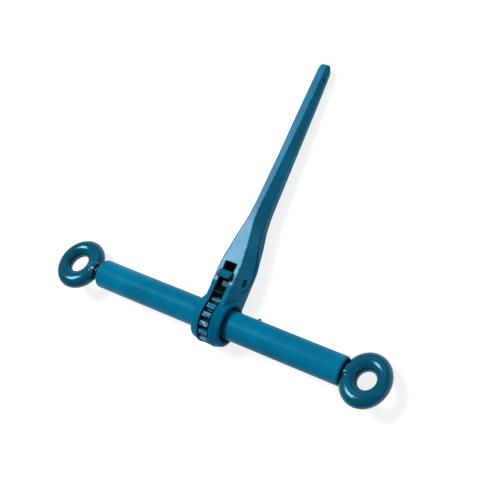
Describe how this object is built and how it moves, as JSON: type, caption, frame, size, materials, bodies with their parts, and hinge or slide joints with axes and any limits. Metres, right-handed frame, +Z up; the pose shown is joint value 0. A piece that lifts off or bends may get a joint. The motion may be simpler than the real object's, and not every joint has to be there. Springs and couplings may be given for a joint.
{
  "type": "load binder",
  "caption": "Ratchet load binder: threaded barrel with forged eye ends, toothed gear, forked lever and reversible pawl",
  "frame": {"origin": "on the floor under the middle of the whole object, as it lies with its lever laid back", "axes": "+X along the barrel, +Y along the lever, +Z up"},
  "size_m": [0.4336, 0.3488, 0.0578],
  "materials": {
    "teal_paint": "gloss",
    "worn_gear": "gloss paint, worn to bare steel on the tooth tops",
    "oiled_steel": "oiled",
    "spring_steel": "bright"
  },
  "bodies": {
    "left_screw": {"left_eye_screw": "teal_paint", "screw_stop_pin_left": "oiled_steel"},
    "washers": {"thrust_washer_left": "oiled_steel", "thrust_washer_right": "oiled_steel"},
    "barrel": {"barrel": "teal_paint", "ratchet_gear": "worn_gear", "gear_lock_pin_upper": "oiled_steel", "gear_lock_pin_lower": "oiled_steel", "grease_fitting": "oiled_steel"},
    "right_screw": {"right_eye_screw": "teal_paint", "screw_stop_pin_right": "oiled_steel"},
    "lever": {"lever": "teal_paint", "pawl_pin": "oiled_steel", "detent_spring": "spring_steel"},
    "pawl": {"pawl": "teal_paint"},
    "plunger": {"detent_plunger": "spring_steel"}
  },
  "joints": [
    {"name": "barrel_travel", "type": "slide", "parent": "left_screw", "child": "washers", "axis": [1, 0, 0], "range_m": [0, 0.06]},
    {"name": "barrel_turn", "type": "hinge", "parent": "washers", "child": "barrel", "pos_m": [0.0042, -0.1436, 0.0289], "axis": [-1, 0, 0], "range_deg": [0, 5400]},
    {"name": "right_screw_travel", "type": "slide", "parent": "left_screw", "child": "right_screw", "axis": [1, 0, 0], "range_m": [0, 0.12]},
    {"name": "lever_swing", "type": "hinge", "parent": "washers", "child": "lever", "pos_m": [0.0042, -0.1436, 0.0289], "axis": [1, 0, 0], "continuous": true},
    {"name": "pawl_turn", "type": "hinge", "parent": "lever", "child": "pawl", "pos_m": [0.0042, -0.09514, 0.027], "axis": [1, 0, 0], "range_deg": [-8, 8]},
    {"name": "detent_travel", "type": "slide", "parent": "lever", "child": "plunger", "axis": [0, 0.9992, -0.0392], "range_m": [0, 0.0005], "stiffness_N_per_m": 800, "springref_m": -0.001, "deforming": ["detent_spring"]}
  ],
  "couplings": [
    {"joint": "barrel_turn", "follows": "barrel_travel", "rad_per_m": 1570.8},
    {"joint": "right_screw_travel", "follows": "barrel_travel", "ratio": 2}
  ]
}
